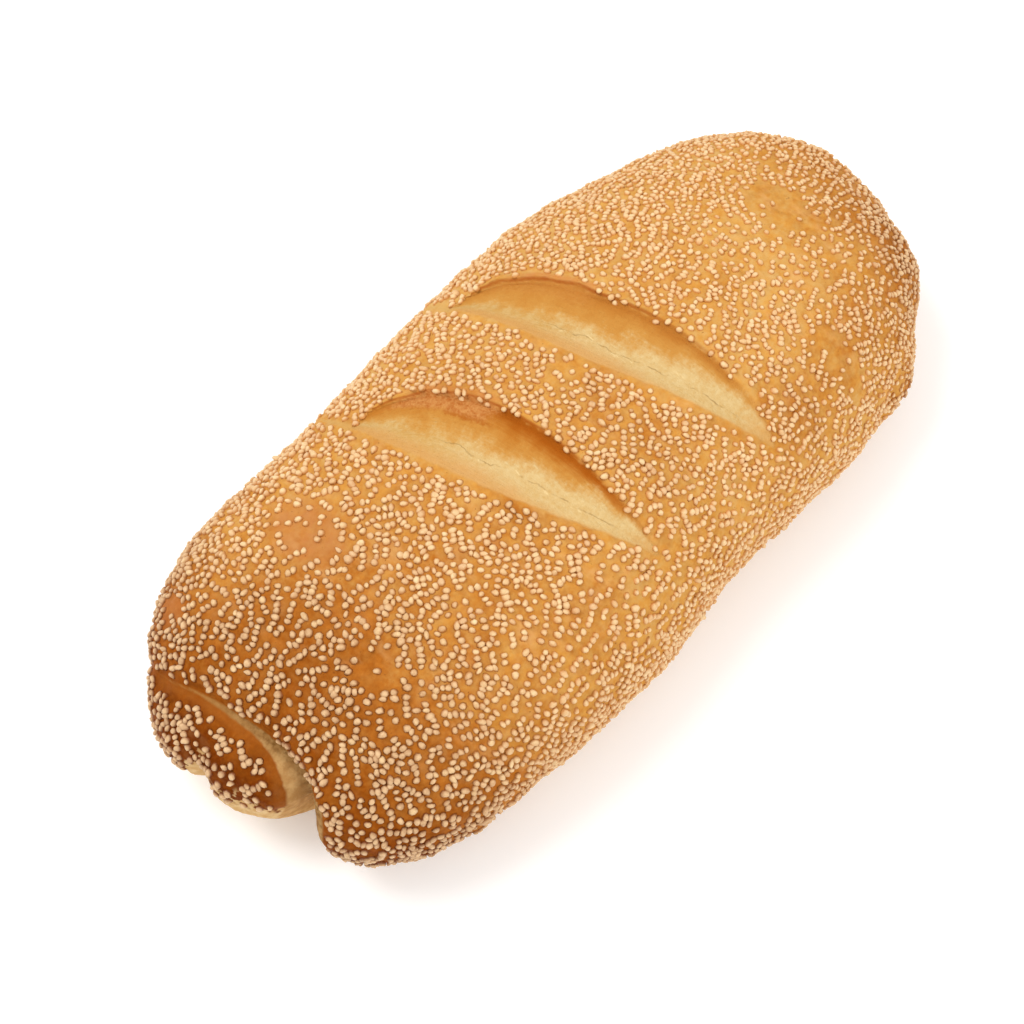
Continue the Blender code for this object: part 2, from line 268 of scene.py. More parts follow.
# ---------------- the crust's form
def box_lattice(cells):
    """The surface of a box from -1 to 1, cut into cells: its corners and its outward quads."""
    counts = np.array(cells)
    sides = []
    for axis in range(3):
        u_axis, v_axis = (axis + 1) % 3, (axis + 2) % 3
        u, v = np.meshgrid(np.arange(counts[u_axis] + 1), np.arange(counts[v_axis] + 1), indexing="ij")
        for end in (0, 1):
            grid = np.zeros(u.shape + (3,), dtype=int)
            grid[..., u_axis] = u
            grid[..., v_axis] = v
            grid[..., axis] = end * counts[axis]
            quads = np.stack([grid[:-1, :-1], grid[1:, :-1], grid[1:, 1:], grid[:-1, 1:]], axis=2)
            sides.append(quads if end else quads[:, :, ::-1])
    every = np.concatenate([side.reshape(-1, 3) for side in sides])
    corners, index = np.unique(every, axis=0, return_inverse=True)
    return corners / counts * 2 - 1, index.reshape(-1, 4)


def crowded(places, crowds):
    """Even places from -1 to 1 moved so that they crowd together where asked."""
    fine = np.linspace(-1, 1, 2001)
    density = np.ones_like(fine)
    for place, reach, more in crowds:
        density += more * np.exp(-((fine - place) / reach) ** 2)
    total = np.concatenate([[0], np.cumsum((density[1:] + density[:-1]) / 2)])
    return np.interp((places + 1) / 2, total / total[-1], fine)


def slash_edges(y, slash):
    """Share of the way from a slash's left tip to its right, its cut's X, and its opening."""
    share = (slash["left_tip"] - y) / (slash["left_tip"] - slash["right_tip"])
    inside = np.clip(share, 0, 1)
    peak = SLASH_RISE / (SLASH_RISE + slash["fall"])
    most = peak ** SLASH_RISE * (1 - peak) ** slash["fall"]
    opening = slash["opening"] * inside ** SLASH_RISE * (1 - inside) ** slash["fall"] / most
    return share, slash["middle"] + CUT_SLOPE * y + slash["bow"] * y * y, opening


def along_slashes(x, y):
    """Where a grid line from x on the middle line runs if it keeps to the slashes' edges."""
    before, after = [-LENGTH / 2], [np.full_like(y, -LENGTH / 2)]
    for slash in sorted(SLASHES, key=lambda slash: slash["middle"]):
        _, cut, opening = slash_edges(y, slash)
        usual = EDGE_LINE_GAP * slash["opening"]
        before += [slash["middle"], slash["middle"] + usual]
        after += [cut, cut + np.maximum(opening, EDGE_LINE_LEAST * usual)]
    before.append(LENGTH / 2)
    after.append(np.full_like(y, LENGTH / 2))
    moved = x.copy()
    for low, high, low_to, high_to in zip(before, before[1:], after, after[1:]):
        share = (x - low) / (high - low)
        moved = np.where((share >= 0) & (share <= 1), low_to + share * (high_to - low_to), moved)
    return moved


def loaf_directions(lattice):
    """The lattice crowded where there is detail, its lines running along the slashes."""
    crowds = (LENGTH_CROWDS, WIDTH_CROWDS, HEIGHT_CROWDS)
    directions = np.stack([crowded(line, crowd) for line, crowd in zip(lattice.T, crowds)], axis=1)
    plain, _ = plain_loaf(directions)
    middle, _ = plain_loaf(directions * (1, 0, 0) + (0, 0, 1))
    near_slashes = smooth_step(plain[:, 2], BELLY, BELLY + EDGE_LINE_FADE)
    near_slashes *= 1 - smooth_step(np.abs(directions[:, 0]), EDGE_LINE_END, 1)
    for _ in range(EDGE_LINE_STEPS):
        points, _ = plain_loaf(directions)
        slanted = along_slashes(middle[:, 0], points[:, 1])
        wanted = plain[:, 0] + near_slashes * (slanted - plain[:, 0])
        directions[:, 0] += (wanted - points[:, 0]) / (LENGTH / 2)
    return directions


def smooth_step(value, low, high):
    share = np.clip((value - low) / (high - low), 0, 1)
    return share * share * (3 - 2 * share)


def unit(vectors):
    return vectors / np.linalg.norm(vectors, axis=1, keepdims=True)


def along_crust(vectors, normals):
    """What is left of vectors when their part along the normals is taken away."""
    return vectors - np.sum(vectors * normals, axis=1, keepdims=True) * normals


def mound(points, place, radii):
    """1 at a place given in millimetres, falling away smoothly with distance."""
    gap = (points / MM - np.array(place)) / np.array(radii)
    return np.exp(-np.sum(gap * gap, axis=1))


def mounds(points, rows):
    """The sum of a table's mounds, each as high as the last number of its row."""
    return sum(height * mound(points, place, radii) for place, radii, height in rows)


def ripples(points, wavelength, seed, count=28):
    """A random field of waves of about one length, with a mean of 0 and a spread of 1."""
    rng = np.random.default_rng(seed)
    waves = rng.normal(size=(count, 3))
    waves *= rng.uniform(0.7, 1.3, (count, 1)) / np.linalg.norm(waves, axis=1, keepdims=True)
    phases = rng.uniform(0, 2 * np.pi, count)
    angles = points @ (2 * np.pi / wavelength * waves).T + phases
    return np.sin(angles).sum(axis=1) * math.sqrt(2 / count)


def plain_loaf(directions):
    """Points and outward normals of the loaf before its slashes, folds and waves."""
    a, b, c = directions.T
    power = np.where(a < 0, NEAR_END_POWER, FAR_END_POWER)
    rise_power = np.where(c > 0, CROWN_POWER, BELLY_POWER)
    half_height = np.where(c > 0, CROWN, BELLY + BASE_CUT)
    ring = (np.abs(a) ** power + np.abs(b) ** power) ** (1 / power)
    scale = (ring ** rise_power + np.abs(c) ** rise_power) ** (-1 / rise_power)
    x, y, z, ring = a * scale, b * scale, c * scale, ring * scale

    round_off = np.maximum(ring, 1e-6) ** (rise_power - power)
    normals = np.stack([
        round_off * np.abs(x) ** (power - 1) * np.sign(x) / (LENGTH / 2),
        round_off * np.abs(y) ** (power - 1) * np.sign(y) / (WIDTH / 2),
        np.abs(z) ** (rise_power - 1) * np.sign(z) / half_height,
    ], axis=1)
    waist = np.where(b > 0, waist_depth(x, *LEFT_WAIST), -waist_depth(x, *RIGHT_WAIST))
    across = WIDTH / 2 * y * (1 - FAR_END_NARROWING * x) - np.abs(y) * waist + SIDEWAYS_DRIFT * x
    height = np.maximum(BELLY + half_height * z, 0)
    return np.stack([LENGTH / 2 * x, across, height], axis=1), unit(normals)


def waist_depth(station, middle, reach, depth):
    return depth * np.exp(-((station - middle) / reach) ** 2)


def slash_coordinates(points, slash):
    """Share of the way from the left tip to the right, distance past the cut, and the opening."""
    share, cut, opening = slash_edges(points[:, 1], slash)
    return share, points[:, 0] - cut, np.where(points[:, 2] > BELLY, opening, 0)


def slash_relief(points, slash):
    """How far a slash raises the crust along its normal, and moves it along X."""
    share, past_cut, opening = slash_coordinates(points, slash)
    strength = opening / slash["opening"]
    across = np.clip(past_cut / np.maximum(opening, 1e-6), 0, 1)
    hollow = -slash["depth"] * np.sin(np.pi * across)
    roll = ROLL_HEIGHT * np.exp(-((across - ROLL_PLACE) / ROLL_REACH) ** 2)
    beyond = past_cut - opening
    rise = LIP_RISE + LIP_SOFTENING * np.clip(share, 0, 1)
    lip = smooth_step(beyond, -rise, rise)
    inside = smooth_step(across, 0, ROLL_START) * (1 - lip)
    gutter = -UNDERCUT * np.exp(-((across - 1) / UNDERCUT_REACH) ** 2)
    lip *= np.exp(-np.maximum(beyond, 0) / LIP_REACH) * smooth_step(strength, 0, LIP_ENDS)
    lip *= 1 - LIP_FADE * np.clip(share, 0, 1)
    tail = np.where(share < 0, np.clip(1 + share / TAIL_LENGTH, 0, 1), 0)
    crease = -TAIL_DEPTH * tail * np.exp(-(past_cut / TAIL_WIDTH) ** 2)
    raised = strength * (hollow + inside * (roll + gutter)) + LIP_HEIGHT * lip + crease
    return raised, -LIP_LEAN * lip * lip


def smooth_curve(stops):
    """Places and sizes along a smooth curve through the stops."""
    values = np.array([place + tuple(sizes) for place, *sizes in stops]) * MM
    padded = np.concatenate([2 * values[:1] - values[1:2], values, 2 * values[-1:] - values[-2:-1]])
    t = np.linspace(0, 1, STEPS_PER_STOP, endpoint=False)[:, None]
    pieces = []
    for before, start, end, after in zip(padded, padded[1:], padded[2:], padded[3:]):
        bend = 2 * before - 5 * start + 4 * end - after
        twist = 3 * start - before - 3 * end + after
        pieces.append(start + 0.5 * t * (end - before + t * (bend + t * twist)))
    pieces.append(values[-1:])
    return np.concatenate(pieces)


def groove_coordinates(points, normals, stops):
    """How far a point is from a groove's curve, to its left and in all, and at the curve's
    nearest place the groove's depth, its banks, and how many stops along that is."""
    curve = smooth_curve(stops)
    places, ways = curve[:, :3], np.gradient(curve[:, :3], axis=0)
    gaps = np.linalg.norm(points[:, None, :] - places[None], axis=2)
    nearest = np.argmin(gaps, axis=1)
    gap = along_crust(points - places[nearest], normals)
    side = np.sum(gap * unit(np.cross(ways[nearest], normals)), axis=1)
    away = np.maximum(np.linalg.norm(gap, axis=1), gaps.min(axis=1) - GROOVE_REACH)
    depth, steep_bank, gentle_bank = curve[nearest, 3:].T
    return side, away, depth, steep_bank, gentle_bank, nearest / STEPS_PER_STOP


def groove_relief(side, away, depth, steep_bank, gentle_bank, _):
    """How a groove moves the crust along its normal."""
    return -depth * np.exp(-(away / np.where(side > 0, gentle_bank, steep_bank)) ** 2)


def crust_surface(directions):
    """The finished surface of the loaf, and the fields that its colours and seeds follow."""
    points, normals = plain_loaf(directions)
    relief = MM * mounds(points, BULGES)
    for waves_per_metre, shift, height in WAVES:
        relief += height * np.sin(2 * np.pi * points @ np.array(waves_per_metre) + shift)
    puckered, lean = np.ones(len(points)), np.zeros(len(points))
    for slash in SLASHES:
        _, past_cut, opening = slash_coordinates(points, slash)
        inward = np.minimum(past_cut, opening - past_cut)
        puckered -= SLASH_SMOOTHNESS * smooth_step(inward, 0, SLASH_RIM)
        raised, leaned = slash_relief(points, slash)
        relief += raised
        lean += leaned
    for wavelength, seed, height in PUCKERS:
        relief += height * ripples(points, wavelength, seed) * puckered
    fold = groove_coordinates(points, normals, FOLD_STOPS)
    seam = groove_coordinates(points, normals, SEAM_STOPS)
    relief += groove_relief(*fold) + groove_relief(*seam)
    moves = normals * relief[:, None]
    moves[:, 0] += lean
    moves[:, 2] *= normals[:, 2] > 0
    return centred(points + moves), colour_fields(points, fold)


def centred(points):
    """The loaf moved so that the origin lies under the middle of its box, on the base."""
    low, high = points.min(axis=0), points.max(axis=0)
    return points - np.array([(low[0] + high[0]) / 2, (low[1] + high[1]) / 2, low[2]])


# ---------------- what colours and seeds follow
# The fold's pale valley: stops of its curve, and how far it reaches right and left in millimetres
VALLEY_EDGES = (
    (1.0, 0, 0),
    (2.0, 0.8, 0.6),
    (2.8, 1.2, 2.2),
    (3.2, 1.5, 4),
    (3.6, 1.7, 6.3),
    (4.2, 2, 8.2),
    (4.6, 8, 8.2),
    (5.6, 8, 9),
    (6.2, 7, 13),
    (7.0, 7, 17),
)
VALLEY_PALES = (1.6, 3.3)  # stops over which it goes from tan to cream
VALLEY_SLACK = 0.002  # how far past the ends of its curve it goes on
VALLEY_SHADED = 0.0058  # how far left the shade under its right edge reaches
VALLEY_SHADE_ENDS = (4.9, 6.2)  # stops over which that shade ends
UNDERSIDE_TOP = 0.010  # height of the pale underside along the flanks
END_UNDERSIDE_TOP = 0.021  # and at the near end
NEAR_END_TURN = (0.125, 0.150)  # distances from the middle, from the one to the other
UNDERSIDE_RISES = (  # where it reaches higher, in millimetres
    ((-152, -14, 34), (20, 15, 60), 15),
    ((-152, 3, 30), (20, 5, 60), 13),
    ((-150, 16, 30), (16, 12, 60), 9),
    ((-138, -52, 32), (18, 14, 60), 4),
)
BAND_WIDTH = 0.0038  # the smooth brown band beside the valley
BAND_RIM = 0.001
BAND_BEGINS = (0.6, 1.6)  # stops over which it begins
BAND_ENDS = (0.014, 0.018)  # distances from the curve over which it ends
RED_RIM = (0.1, 0.7)  # from the rim of a reddish patch to its full colour
LEAST_OPENING = 0.0005  # a slash that is open less than this is closed
SLASH_SPAN = 0.1  # roughly the length of a slash
# Shares of a slash's length, and how far across it the browned roll starts there
ROLL_STARTS = ((0, 0.40), (0.3, 0.45), (0.5, 0.53), (0.65, 0.60), (0.8, 0.72), (0.9, 0.84), (1, 1))


def colour_fields(points, fold):
    """Values for each point of the crust: distances in millimetres, and shares from 0 to 1."""
    x, y, z = points.T
    between = (SLASHES[0]["middle"] + SLASHES[1]["middle"] + SLASHES[1]["opening"]) / 2
    divide = between + CUT_SLOPE * y + (SLASHES[0]["bow"] + SLASHES[1]["bow"]) / 2 * y * y
    far, near = (slash_coordinates(points, slash) for slash in SLASHES)
    share, past_cut, opening = (np.where(x > divide, one, other) for one, other in zip(far, near))

    side, away, _, _, _, along_fold = fold
    stops, right_reaches, left_reaches = np.array(VALLEY_EDGES).T
    left_reach = np.interp(along_fold, stops, left_reaches) * MM
    right_reach = np.interp(along_fold, stops, right_reaches) * MM
    valley = np.minimum(side + right_reach, left_reach - side)
    valley -= np.maximum(away - np.abs(side) - VALLEY_SLACK, 0)
    pale = smooth_step(along_fold, *VALLEY_PALES)
    shade = pale * (1 - smooth_step(side, 0.0, VALLEY_SHADED))
    shade *= 1 - smooth_step(along_fold, *VALLEY_SHADE_ENDS)
    beyond_valley = side - left_reach
    by_fold = smooth_step(along_fold, *BAND_BEGINS) * (1 - smooth_step(away, *BAND_ENDS))
    in_band = (beyond_valley > -BAND_RIM) & (beyond_valley < BAND_WIDTH) & (by_fold > 0.5)
    band = by_fold * smooth_step(beyond_valley, -BAND_RIM, BAND_RIM)
    band *= 1 - smooth_step(beyond_valley, BAND_RIM, BAND_WIDTH)

    along = x / (LENGTH / 2)
    # darker toward the near end and on its end face: partly browning, partly painted shade
    browning_and_shade = BROWNING + BROWNING_AND_SHADE_ALONG * along + NEAR_END_BROWNING_AND_SHADE * smooth_step(-along, *NEAR_END_SPAN)
    browning_and_shade += mounds(points, BROWNED_PATCHES)
    red = np.zeros(len(points))
    for place, radii, amount in RED_PATCHES:
        red = np.maximum(red, amount * smooth_step(mound(points, place, radii), *RED_RIM))
    under = UNDERSIDE_TOP + (END_UNDERSIDE_TOP - UNDERSIDE_TOP) * smooth_step(-x, *NEAR_END_TURN)
    under += MM * mounds(points, UNDERSIDE_RISES)
    roll = past_cut / np.maximum(opening, LEAST_OPENING) - np.interp(share, *np.array(ROLL_STARTS).T)
    within = np.minimum(past_cut, opening - past_cut)
    within = np.minimum(within, SLASH_SPAN * np.minimum(share, 1 - share))
    fields = dict(past_cut=past_cut, opening=opening, share=share, roll=roll, is_far=1.0 * (x > divide),
                  within=within, off_cut=np.abs(past_cut), valley=valley, cream=pale, shade=shade,
                  band=band, in_band=1.0 * in_band, browning_and_shade=browning_and_shade, red=red, height=z, under=under - z,
                  gaps=seed_gaps(points))
    fields["welcome"] = seed_welcome(points, fields)
    for name in ("past_cut", "opening", "within", "off_cut", "valley", "height", "under"):
        fields[name] = fields[name] / MM
    return fields


def seed_gaps(points):
    """How much further apart the rows of seeds lie than where they are closest."""
    wider = SPARSE_WAVES * smooth_step(ripples(points, SPARSE_WAVE, 81), *SPARSE_FROM)
    wider += SPARSE_RIGHT * smooth_step(-points[:, 1], -LEFT_FLANK, 0.0)
    return 1 + wider + mounds(points, SPARSE_PATCHES)


def seed_welcome(points, fields):
    """The share of the seeds that may stay at each point."""
    share, past_cut, opening = fields["share"], fields["past_cut"], fields["opening"]
    strip = FAR_STRIP * smooth_step(share, *FAR_STRIP_BEGINS) * (1 - smooth_step(share, *FAR_STRIP_ENDS))
    strip = strip * fields["is_far"] + LIP_STRIP + EDGE_STRAYING * ripples(points, EDGE_WAVE, 83)
    cut_strip = CUT_STRIP + EDGE_STRAYING * ripples(points, EDGE_WAVE, 84)
    in_slash = (opening > LEAST_OPENING) & (past_cut > cut_strip) & (past_cut < opening + strip)
    tail = (np.abs(past_cut) < TAIL_BARENESS) & (share > -TAIL_LENGTH) & (share < 1)
    tail &= points[:, 2] > BELLY
    welcome = np.where(in_slash | tail, 0.0, 1.0)
    for place, radii, kept in BARE_PATCHES:
        welcome *= 1 - (1 - kept) * smooth_step(mound(points, place, radii), *BARE_RIM)
    welcome *= fields["valley"] < -VALLEY_BARENESS
    welcome *= fields["in_band"] < 0.5
    welcome *= points[:, 2] > SEEDS_END
    above = smooth_step(-fields["under"], *UNDERSIDE_RIM)
    return welcome * (UNDERSIDE_SEEDS + (1 - UNDERSIDE_SEEDS) * above)


def add_object(name, data):
    thing = bpy.data.objects.new(name, data)
    bpy.context.scene.collection.objects.link(thing)
    return thing


def mesh_object(name, points, faces, fields=None):
    mesh = bpy.data.meshes.new(name)
    mesh.from_pydata(points.tolist(), [], faces.tolist())
    mesh.shade_smooth()
    for field, values in (fields or {}).items():
        layer = mesh.attributes.new(field, "FLOAT", "POINT")
        layer.data.foreach_set("value", np.asarray(values, dtype=np.float32))
    return add_object(name, mesh)


# ---------------- seeds
def surface_samples(points, quads, fields, count, seed):
    """Random places on the crust, even by area, with their normals and fields."""
    rng = np.random.default_rng(seed)
    triangles = np.concatenate([quads[:, [0, 1, 2]], quads[:, [0, 2, 3]]])
    corners = points[triangles]
    crosses = np.cross(corners[:, 1] - corners[:, 0], corners[:, 2] - corners[:, 0])
    vertex_normals = np.zeros_like(points)
    for corner in range(3):
        np.add.at(vertex_normals, triangles[:, corner], crosses)
    vertex_normals = unit(vertex_normals)
    wanted = np.linalg.norm(crosses, axis=1) * (fields["welcome"][triangles].max(axis=1) > 0)
    chosen = triangles[rng.choice(len(triangles), count, p=wanted / wanted.sum())]
    u, v = rng.random((2, count))
    flip = u + v > 1
    u, v = np.where(flip, 1 - u, u), np.where(flip, 1 - v, v)
    weights = np.stack([1 - u - v, u, v], axis=1)
    places = (points[chosen] * weights[..., None]).sum(axis=1)
    normals = unit((vertex_normals[chosen] * weights[..., None]).sum(axis=1))
    values = {name: (field[chosen] * weights).sum(axis=1) for name, field in fields.items()}
    kept = values["welcome"] > 0
    return places[kept], normals[kept], {name: value[kept] for name, value in values.items()}


def seed_scale(places):
    """How large the seeds are at each place: larger at the near end."""
    return 1 - SEED_FAR_SHRINKING * places[:, 0] / (LENGTH / 2)


def seed_rows(places, normals, gaps, welcome):
    """Which places hold a seed, in short rows, and each seed's way along its row."""
    tree = KDTree(len(places))
    for index, place in enumerate(places.tolist()):
        tree.insert(place, index)
    tree.balance()
    rng = np.random.default_rng(61)
    swirl = np.stack([ripples(places, ROW_SWIRL, 41 + axis) for axis in range(3)], axis=1)
    ways = unit(np.cross(normals, swirl + rng.normal(0, ROW_SCATTER, places.shape)))
    turned = smooth_step(places[:, 0], *ROW_WAY_TURN)
    kept_to = np.interp(turned, (0, 1), ROW_WAY_SHARES)
    ways += np.sign(ways @ ROW_WAY)[:, None] * kept_to[:, None] * ROW_WAY
    ways = unit(along_crust(ways, normals))
    taken, near_row = np.zeros((2, len(places)), dtype=bool)
    stays = rng.random(len(places)) < welcome
    spacings = SEED_SPACING * seed_scale(places)
    row_gaps = ROW_GAP * seed_scale(places) * gaps
    kept, kept_ways = [], []

    def place_seed(index, way):
        if stays[index]:
            kept.append(index)
            kept_ways.append(way)
        for _, other, gap in tree.find_range(places[index], row_gaps[index]):
            near_row[other] = True
            taken[other] |= gap < spacings[index]

    for start in rng.permutation(len(places)).tolist():
        if near_row[start]:
            continue
        place_seed(start, ways[start])
        here, way = start, ways[start]
        for _ in range(rng.poisson(ROW_SEEDS / gaps[start] ** 2)):
            aim = places[here] + way * spacings[here] * ROW_STEP
            around = tree.find_range(aim, spacings[here] * ROW_SEARCH)
            found = [other for _, other, _ in around if not taken[other]]
            if not found:
                break
            step = places[found[0]] - places[here]
            way = ROW_STRAIGHTNESS * step / np.linalg.norm(step)
            way += (1 - ROW_STRAIGHTNESS) * rng.normal(0, 1, 3)
            way -= np.dot(way, normals[found[0]]) * normals[found[0]]
            way /= np.linalg.norm(way)
            here = found[0]
            place_seed(here, way)
    return np.array(kept), np.array(kept_ways)


def seed_shape():
    """A seed of unit half length, half width and height, pointed at +X: corners, faces, shades."""
    turns = 2 * np.pi * np.arange(SEED_SIDES) / SEED_SIDES
    outline = np.stack([np.cos(turns), np.sin(turns) * (1 - SEED_EGG * np.cos(turns))], axis=1)
    points = [(x * out, y * out, up) for out, up in SEED_RINGS for x, y in outline.tolist()]
    points += [(0, 0, 1), (0, 0, SEED_FOOT)]
    shades = np.append(np.repeat(SEED_SHADES, SEED_SIDES), (1.0, 0.0))
    top, bottom = len(points) - 2, len(points) - 1
    last = (len(SEED_RINGS) - 1) * SEED_SIDES
    faces = []
    for side in range(SEED_SIDES):
        beside = (side + 1) % SEED_SIDES
        faces.append((beside, side, bottom))
        faces.append((last + side, last + beside, top))
        for low in range(0, last, SEED_SIDES):
            high = low + SEED_SIDES
            faces.append((low + side, low + beside, high + beside))
            faces.append((low + side, high + beside, high + side))
    return np.array(points), np.array(faces), shades


def build_seeds(points, quads, fields):
    places, normals, values = surface_samples(points, quads, fields, SEED_CANDIDATES, 31)
    kept, ways = seed_rows(places, normals, values["gaps"], values["welcome"])
    places, normals = places[kept], normals[kept]
    values = {name: value[kept] for name, value in values.items()}
    rng = np.random.default_rng(71)
    count = len(places)
    shape, faces, shades = seed_shape()
    sizes = np.array([SEED_LENGTH / 2, SEED_WIDTH / 2, SEED_HEIGHT])
    sizes = sizes * rng.normal(1, SPREADS["measure"], (count, 3))
    sizes *= rng.normal(1, SPREADS["size"], (count, 1)) * seed_scale(places)[:, None]

    turn = np.pi / 2 + rng.normal(0, SPREADS["turn"], (count, 1))
    turn += np.pi * rng.integers(0, 2, (count, 1))
    along_row = unit(along_crust(ways, normals))
    length = np.cos(turn) * along_row + np.sin(turn) * np.cross(normals, along_row)
    frames = np.stack([length, np.cross(normals, length), normals], axis=1)
    corners = np.repeat(shape[None], count, axis=0)
    raised = np.maximum(corners[..., 2:], 0)
    uneven = 1 + SPREADS["outline"] * rng.normal(0, 1, (count, len(shape), 1)) * (raised > 0)
    lean = rng.normal(0, SPREADS["lean"], (count, 1, 2))
    corners[..., :2] = corners[..., :2] * uneven + raised ** 1.5 * lean
    corners[..., 2] *= 1 + corners[..., 0] * rng.normal(0, SPREADS["slope"], (count, 1))
    corners = places[:, None, :] + (corners * sizes[:, None, :]) @ frames

    order = np.argsort(values["browning_and_shade"] + rng.normal(0, SPREADS["shade"], count))
    kinds = []
    start = 0
    for name, portion, colour in SEED_KINDS:
        end = min(count, start + math.ceil(portion * count))
        members = np.sort(order[start:end])
        start = end
        number = len(members)
        offsets = np.arange(number)[:, None, None] * len(shape)
        seed_fields = dict(
            tone=np.repeat(rng.random(number), len(shape)),
            shade=np.tile(shades, number),
            browning_and_shade=np.repeat(values["browning_and_shade"][members], len(shape)),
        )
        seeds = mesh_object(name, corners[members].reshape(-1, 3),
                            (faces[None] + offsets).reshape(-1, 3), seed_fields)
        seeds.data.materials.append(seed_material(name, colour))
        kinds.append(seeds)
    return kinds


# ---------------- materials
class Value:
    """A number or a colour that a material's nodes work out. Arithmetic on it adds nodes."""

    def __init__(self, tree, socket):
        self.tree, self.socket = tree, socket

    def __add__(self, other):
        return math_node("ADD", self, other)

    def __sub__(self, other):
        return math_node("SUBTRACT", self, other)

    def __mul__(self, other):
        return math_node("MULTIPLY", self, other)

    def __truediv__(self, other):
        return math_node("DIVIDE", self, other)

    def __abs__(self):
        return math_node("ABSOLUTE", self)


def new_material(name):
    material = bpy.data.materials.new(name)
    material.use_nodes = True
    tree = material.node_tree
    return material, tree, tree.nodes["Principled BSDF"]


def set_input(node, socket, value):
    if isinstance(value, Value):
        value.tree.links.new(value.socket, node.inputs[socket])
    else:
        node.inputs[socket].default_value = value


def add_node(tree, kind, output, *inputs, **settings):
    """The output of a new node, whose inputs are given as a socket and what goes into it."""
    node = tree.nodes.new("ShaderNode" + kind)
    for name, setting in settings.items():
        setattr(node, name, setting)
    for socket, value in inputs:
        set_input(node, socket, value)
    return Value(tree, node.outputs[output])


def attribute(tree, name):
    return add_node(tree, "Attribute", "Fac", attribute_name=name)


def noise(tree, size, detail=3.0, roughness=0.55, offset=0.0, stretch=(1, 1, 1)):
    """Noise from 0 to 1 whose features are about the given size in metres, times the stretch."""
    scale = [1 / (size * by) for by in stretch]
    place = add_node(tree, "Mapping", "Vector", ("Vector", add_node(tree, "TexCoord", "Object")),
                     ("Scale", scale), ("Location", (offset,) * 3))
    return noise_at(place, detail, roughness)


def noise_at(place, detail, roughness):
    return add_node(place.tree, "TexNoise", "Fac", ("Vector", place), ("Scale", 1),
                    ("Detail", detail), ("Roughness", roughness))


def math_node(operation, *values):
    return add_node(values[0].tree, "Math", "Value", *enumerate(values), operation=operation)


def spread(value, low, high, to_low=0.0, to_high=1.0):
    """Maps a value from one range to another, smoothly and held at the ends."""
    return add_node(value.tree, "MapRange", "Result", *enumerate((value, low, high, to_low, to_high)),
                    interpolation_type="SMOOTHSTEP")


def fade(value, low, high):
    """1 up to the low end of a range, falling to 0 at its high end."""
    return spread(value, low, high, 1.0, 0.0)


def colour_ramp(value, stops):
    result = add_node(value.tree, "ValToRGB", "Color", ("Fac", value))
    ramp = result.socket.node.color_ramp
    while len(ramp.elements) < len(stops):
        ramp.elements.new(0.5)
    for element, (place, colour) in zip(ramp.elements, stops):
        element.position = place
        element.color = colour
    return result


def mix_colours(share, first, second, blend="MIX"):
    tree = next(value.tree for value in (share, first, second) if isinstance(value, Value))
    return add_node(tree, "Mix", 2, (0, share), (6, first), (7, second), data_type="RGBA", blend_type=blend)


def bump(height, distance, strength, *below):
    """The normals of a relief of this height, laid over the normals below it."""
    return add_node(height.tree, "Bump", "Normal", ("Height", height), ("Distance", distance),
                    ("Strength", strength), *[("Normal", normal) for normal in below])


FIBRE_WIDTH = 0.8  # of the crumb's fibres, in millimetres
FIBRE_LENGTH = 7.0
CRUST_STOPS = (
    (0.00, srgb(226, 194, 132)),
    (0.22, srgb(215, 172, 103)),
    (0.42, srgb(202, 146, 71)),
    (0.62, srgb(176, 108, 40)),
    (0.82, srgb(143, 75, 15)),
    (1.00, srgb(108, 47, 4)),
)
HUES = ((1.03, 0.96, 0.80, 1.0), (0.98, 1.03, 1.18, 1.0))  # how its hue varies in small patches
RED_CRUST = srgb(182, 112, 66)
STRETCHED_CRUST = srgb(224, 172, 110)
PORE = srgb(120, 66, 26)
PALE_CRUMB = srgb(218, 191, 138)
DEEP_CRUMB = srgb(202, 161, 95)
EDGE_CRUMB = srgb(208, 151, 84)
TIP_CRUMB = srgb(206, 154, 86)
GOLDEN_CRUMB = srgb(200, 144, 70)
ROLL_CRUMB = srgb(186, 118, 44)
# the next is for the crumb right under the lip, browned and partly painted shade there, and for the skin's
# ridge
BROWN_CRUMB = srgb(166, 88, 20)
SKIN_RED = srgb(176, 100, 42)
SKIN_TAN = srgb(208, 148, 86)
FLAKE = srgb(240, 214, 158)
CRACK = srgb(150, 112, 60)
LIP_BROWN = srgb(166, 86, 28)
STRIP_RED = srgb(196, 122, 66)
VALLEY_CREAM = srgb(210, 168, 110)
VALLEY_TAN = srgb(160, 108, 52)
VALLEY_SHADE = srgb(104, 67, 24)
BAND_BROWN = srgb(158, 90, 32)
UNDERSIDE = srgb(224, 191, 138)
UNDERSIDE_TAN = srgb(206, 162, 102)
CRUST_SPECULAR = 0.02
# the first of these is for the browner crumb right under the lip, partly painted shade there
FAR_LIP_BROWNING_AND_SHADE = 0.3  # how strongly these show in the far slash, if that is 1 in the near one
FAR_GOLD = 0.65
FAR_SKIN = 0.2
CRACK_PLACE = 0.51  # share of the opening
CRACK_WANDERING = 0.30


def slash_fibres(beyond, share):
    """Noise drawn out along the far edge of the slashes."""
    place = add_node(share.tree, "CombineXYZ", "Vector", ("X", beyond * (1 / FIBRE_WIDTH)),
                     ("Y", share * (100 / FIBRE_LENGTH)))
    return noise_at(place, 3.0, 0.65)


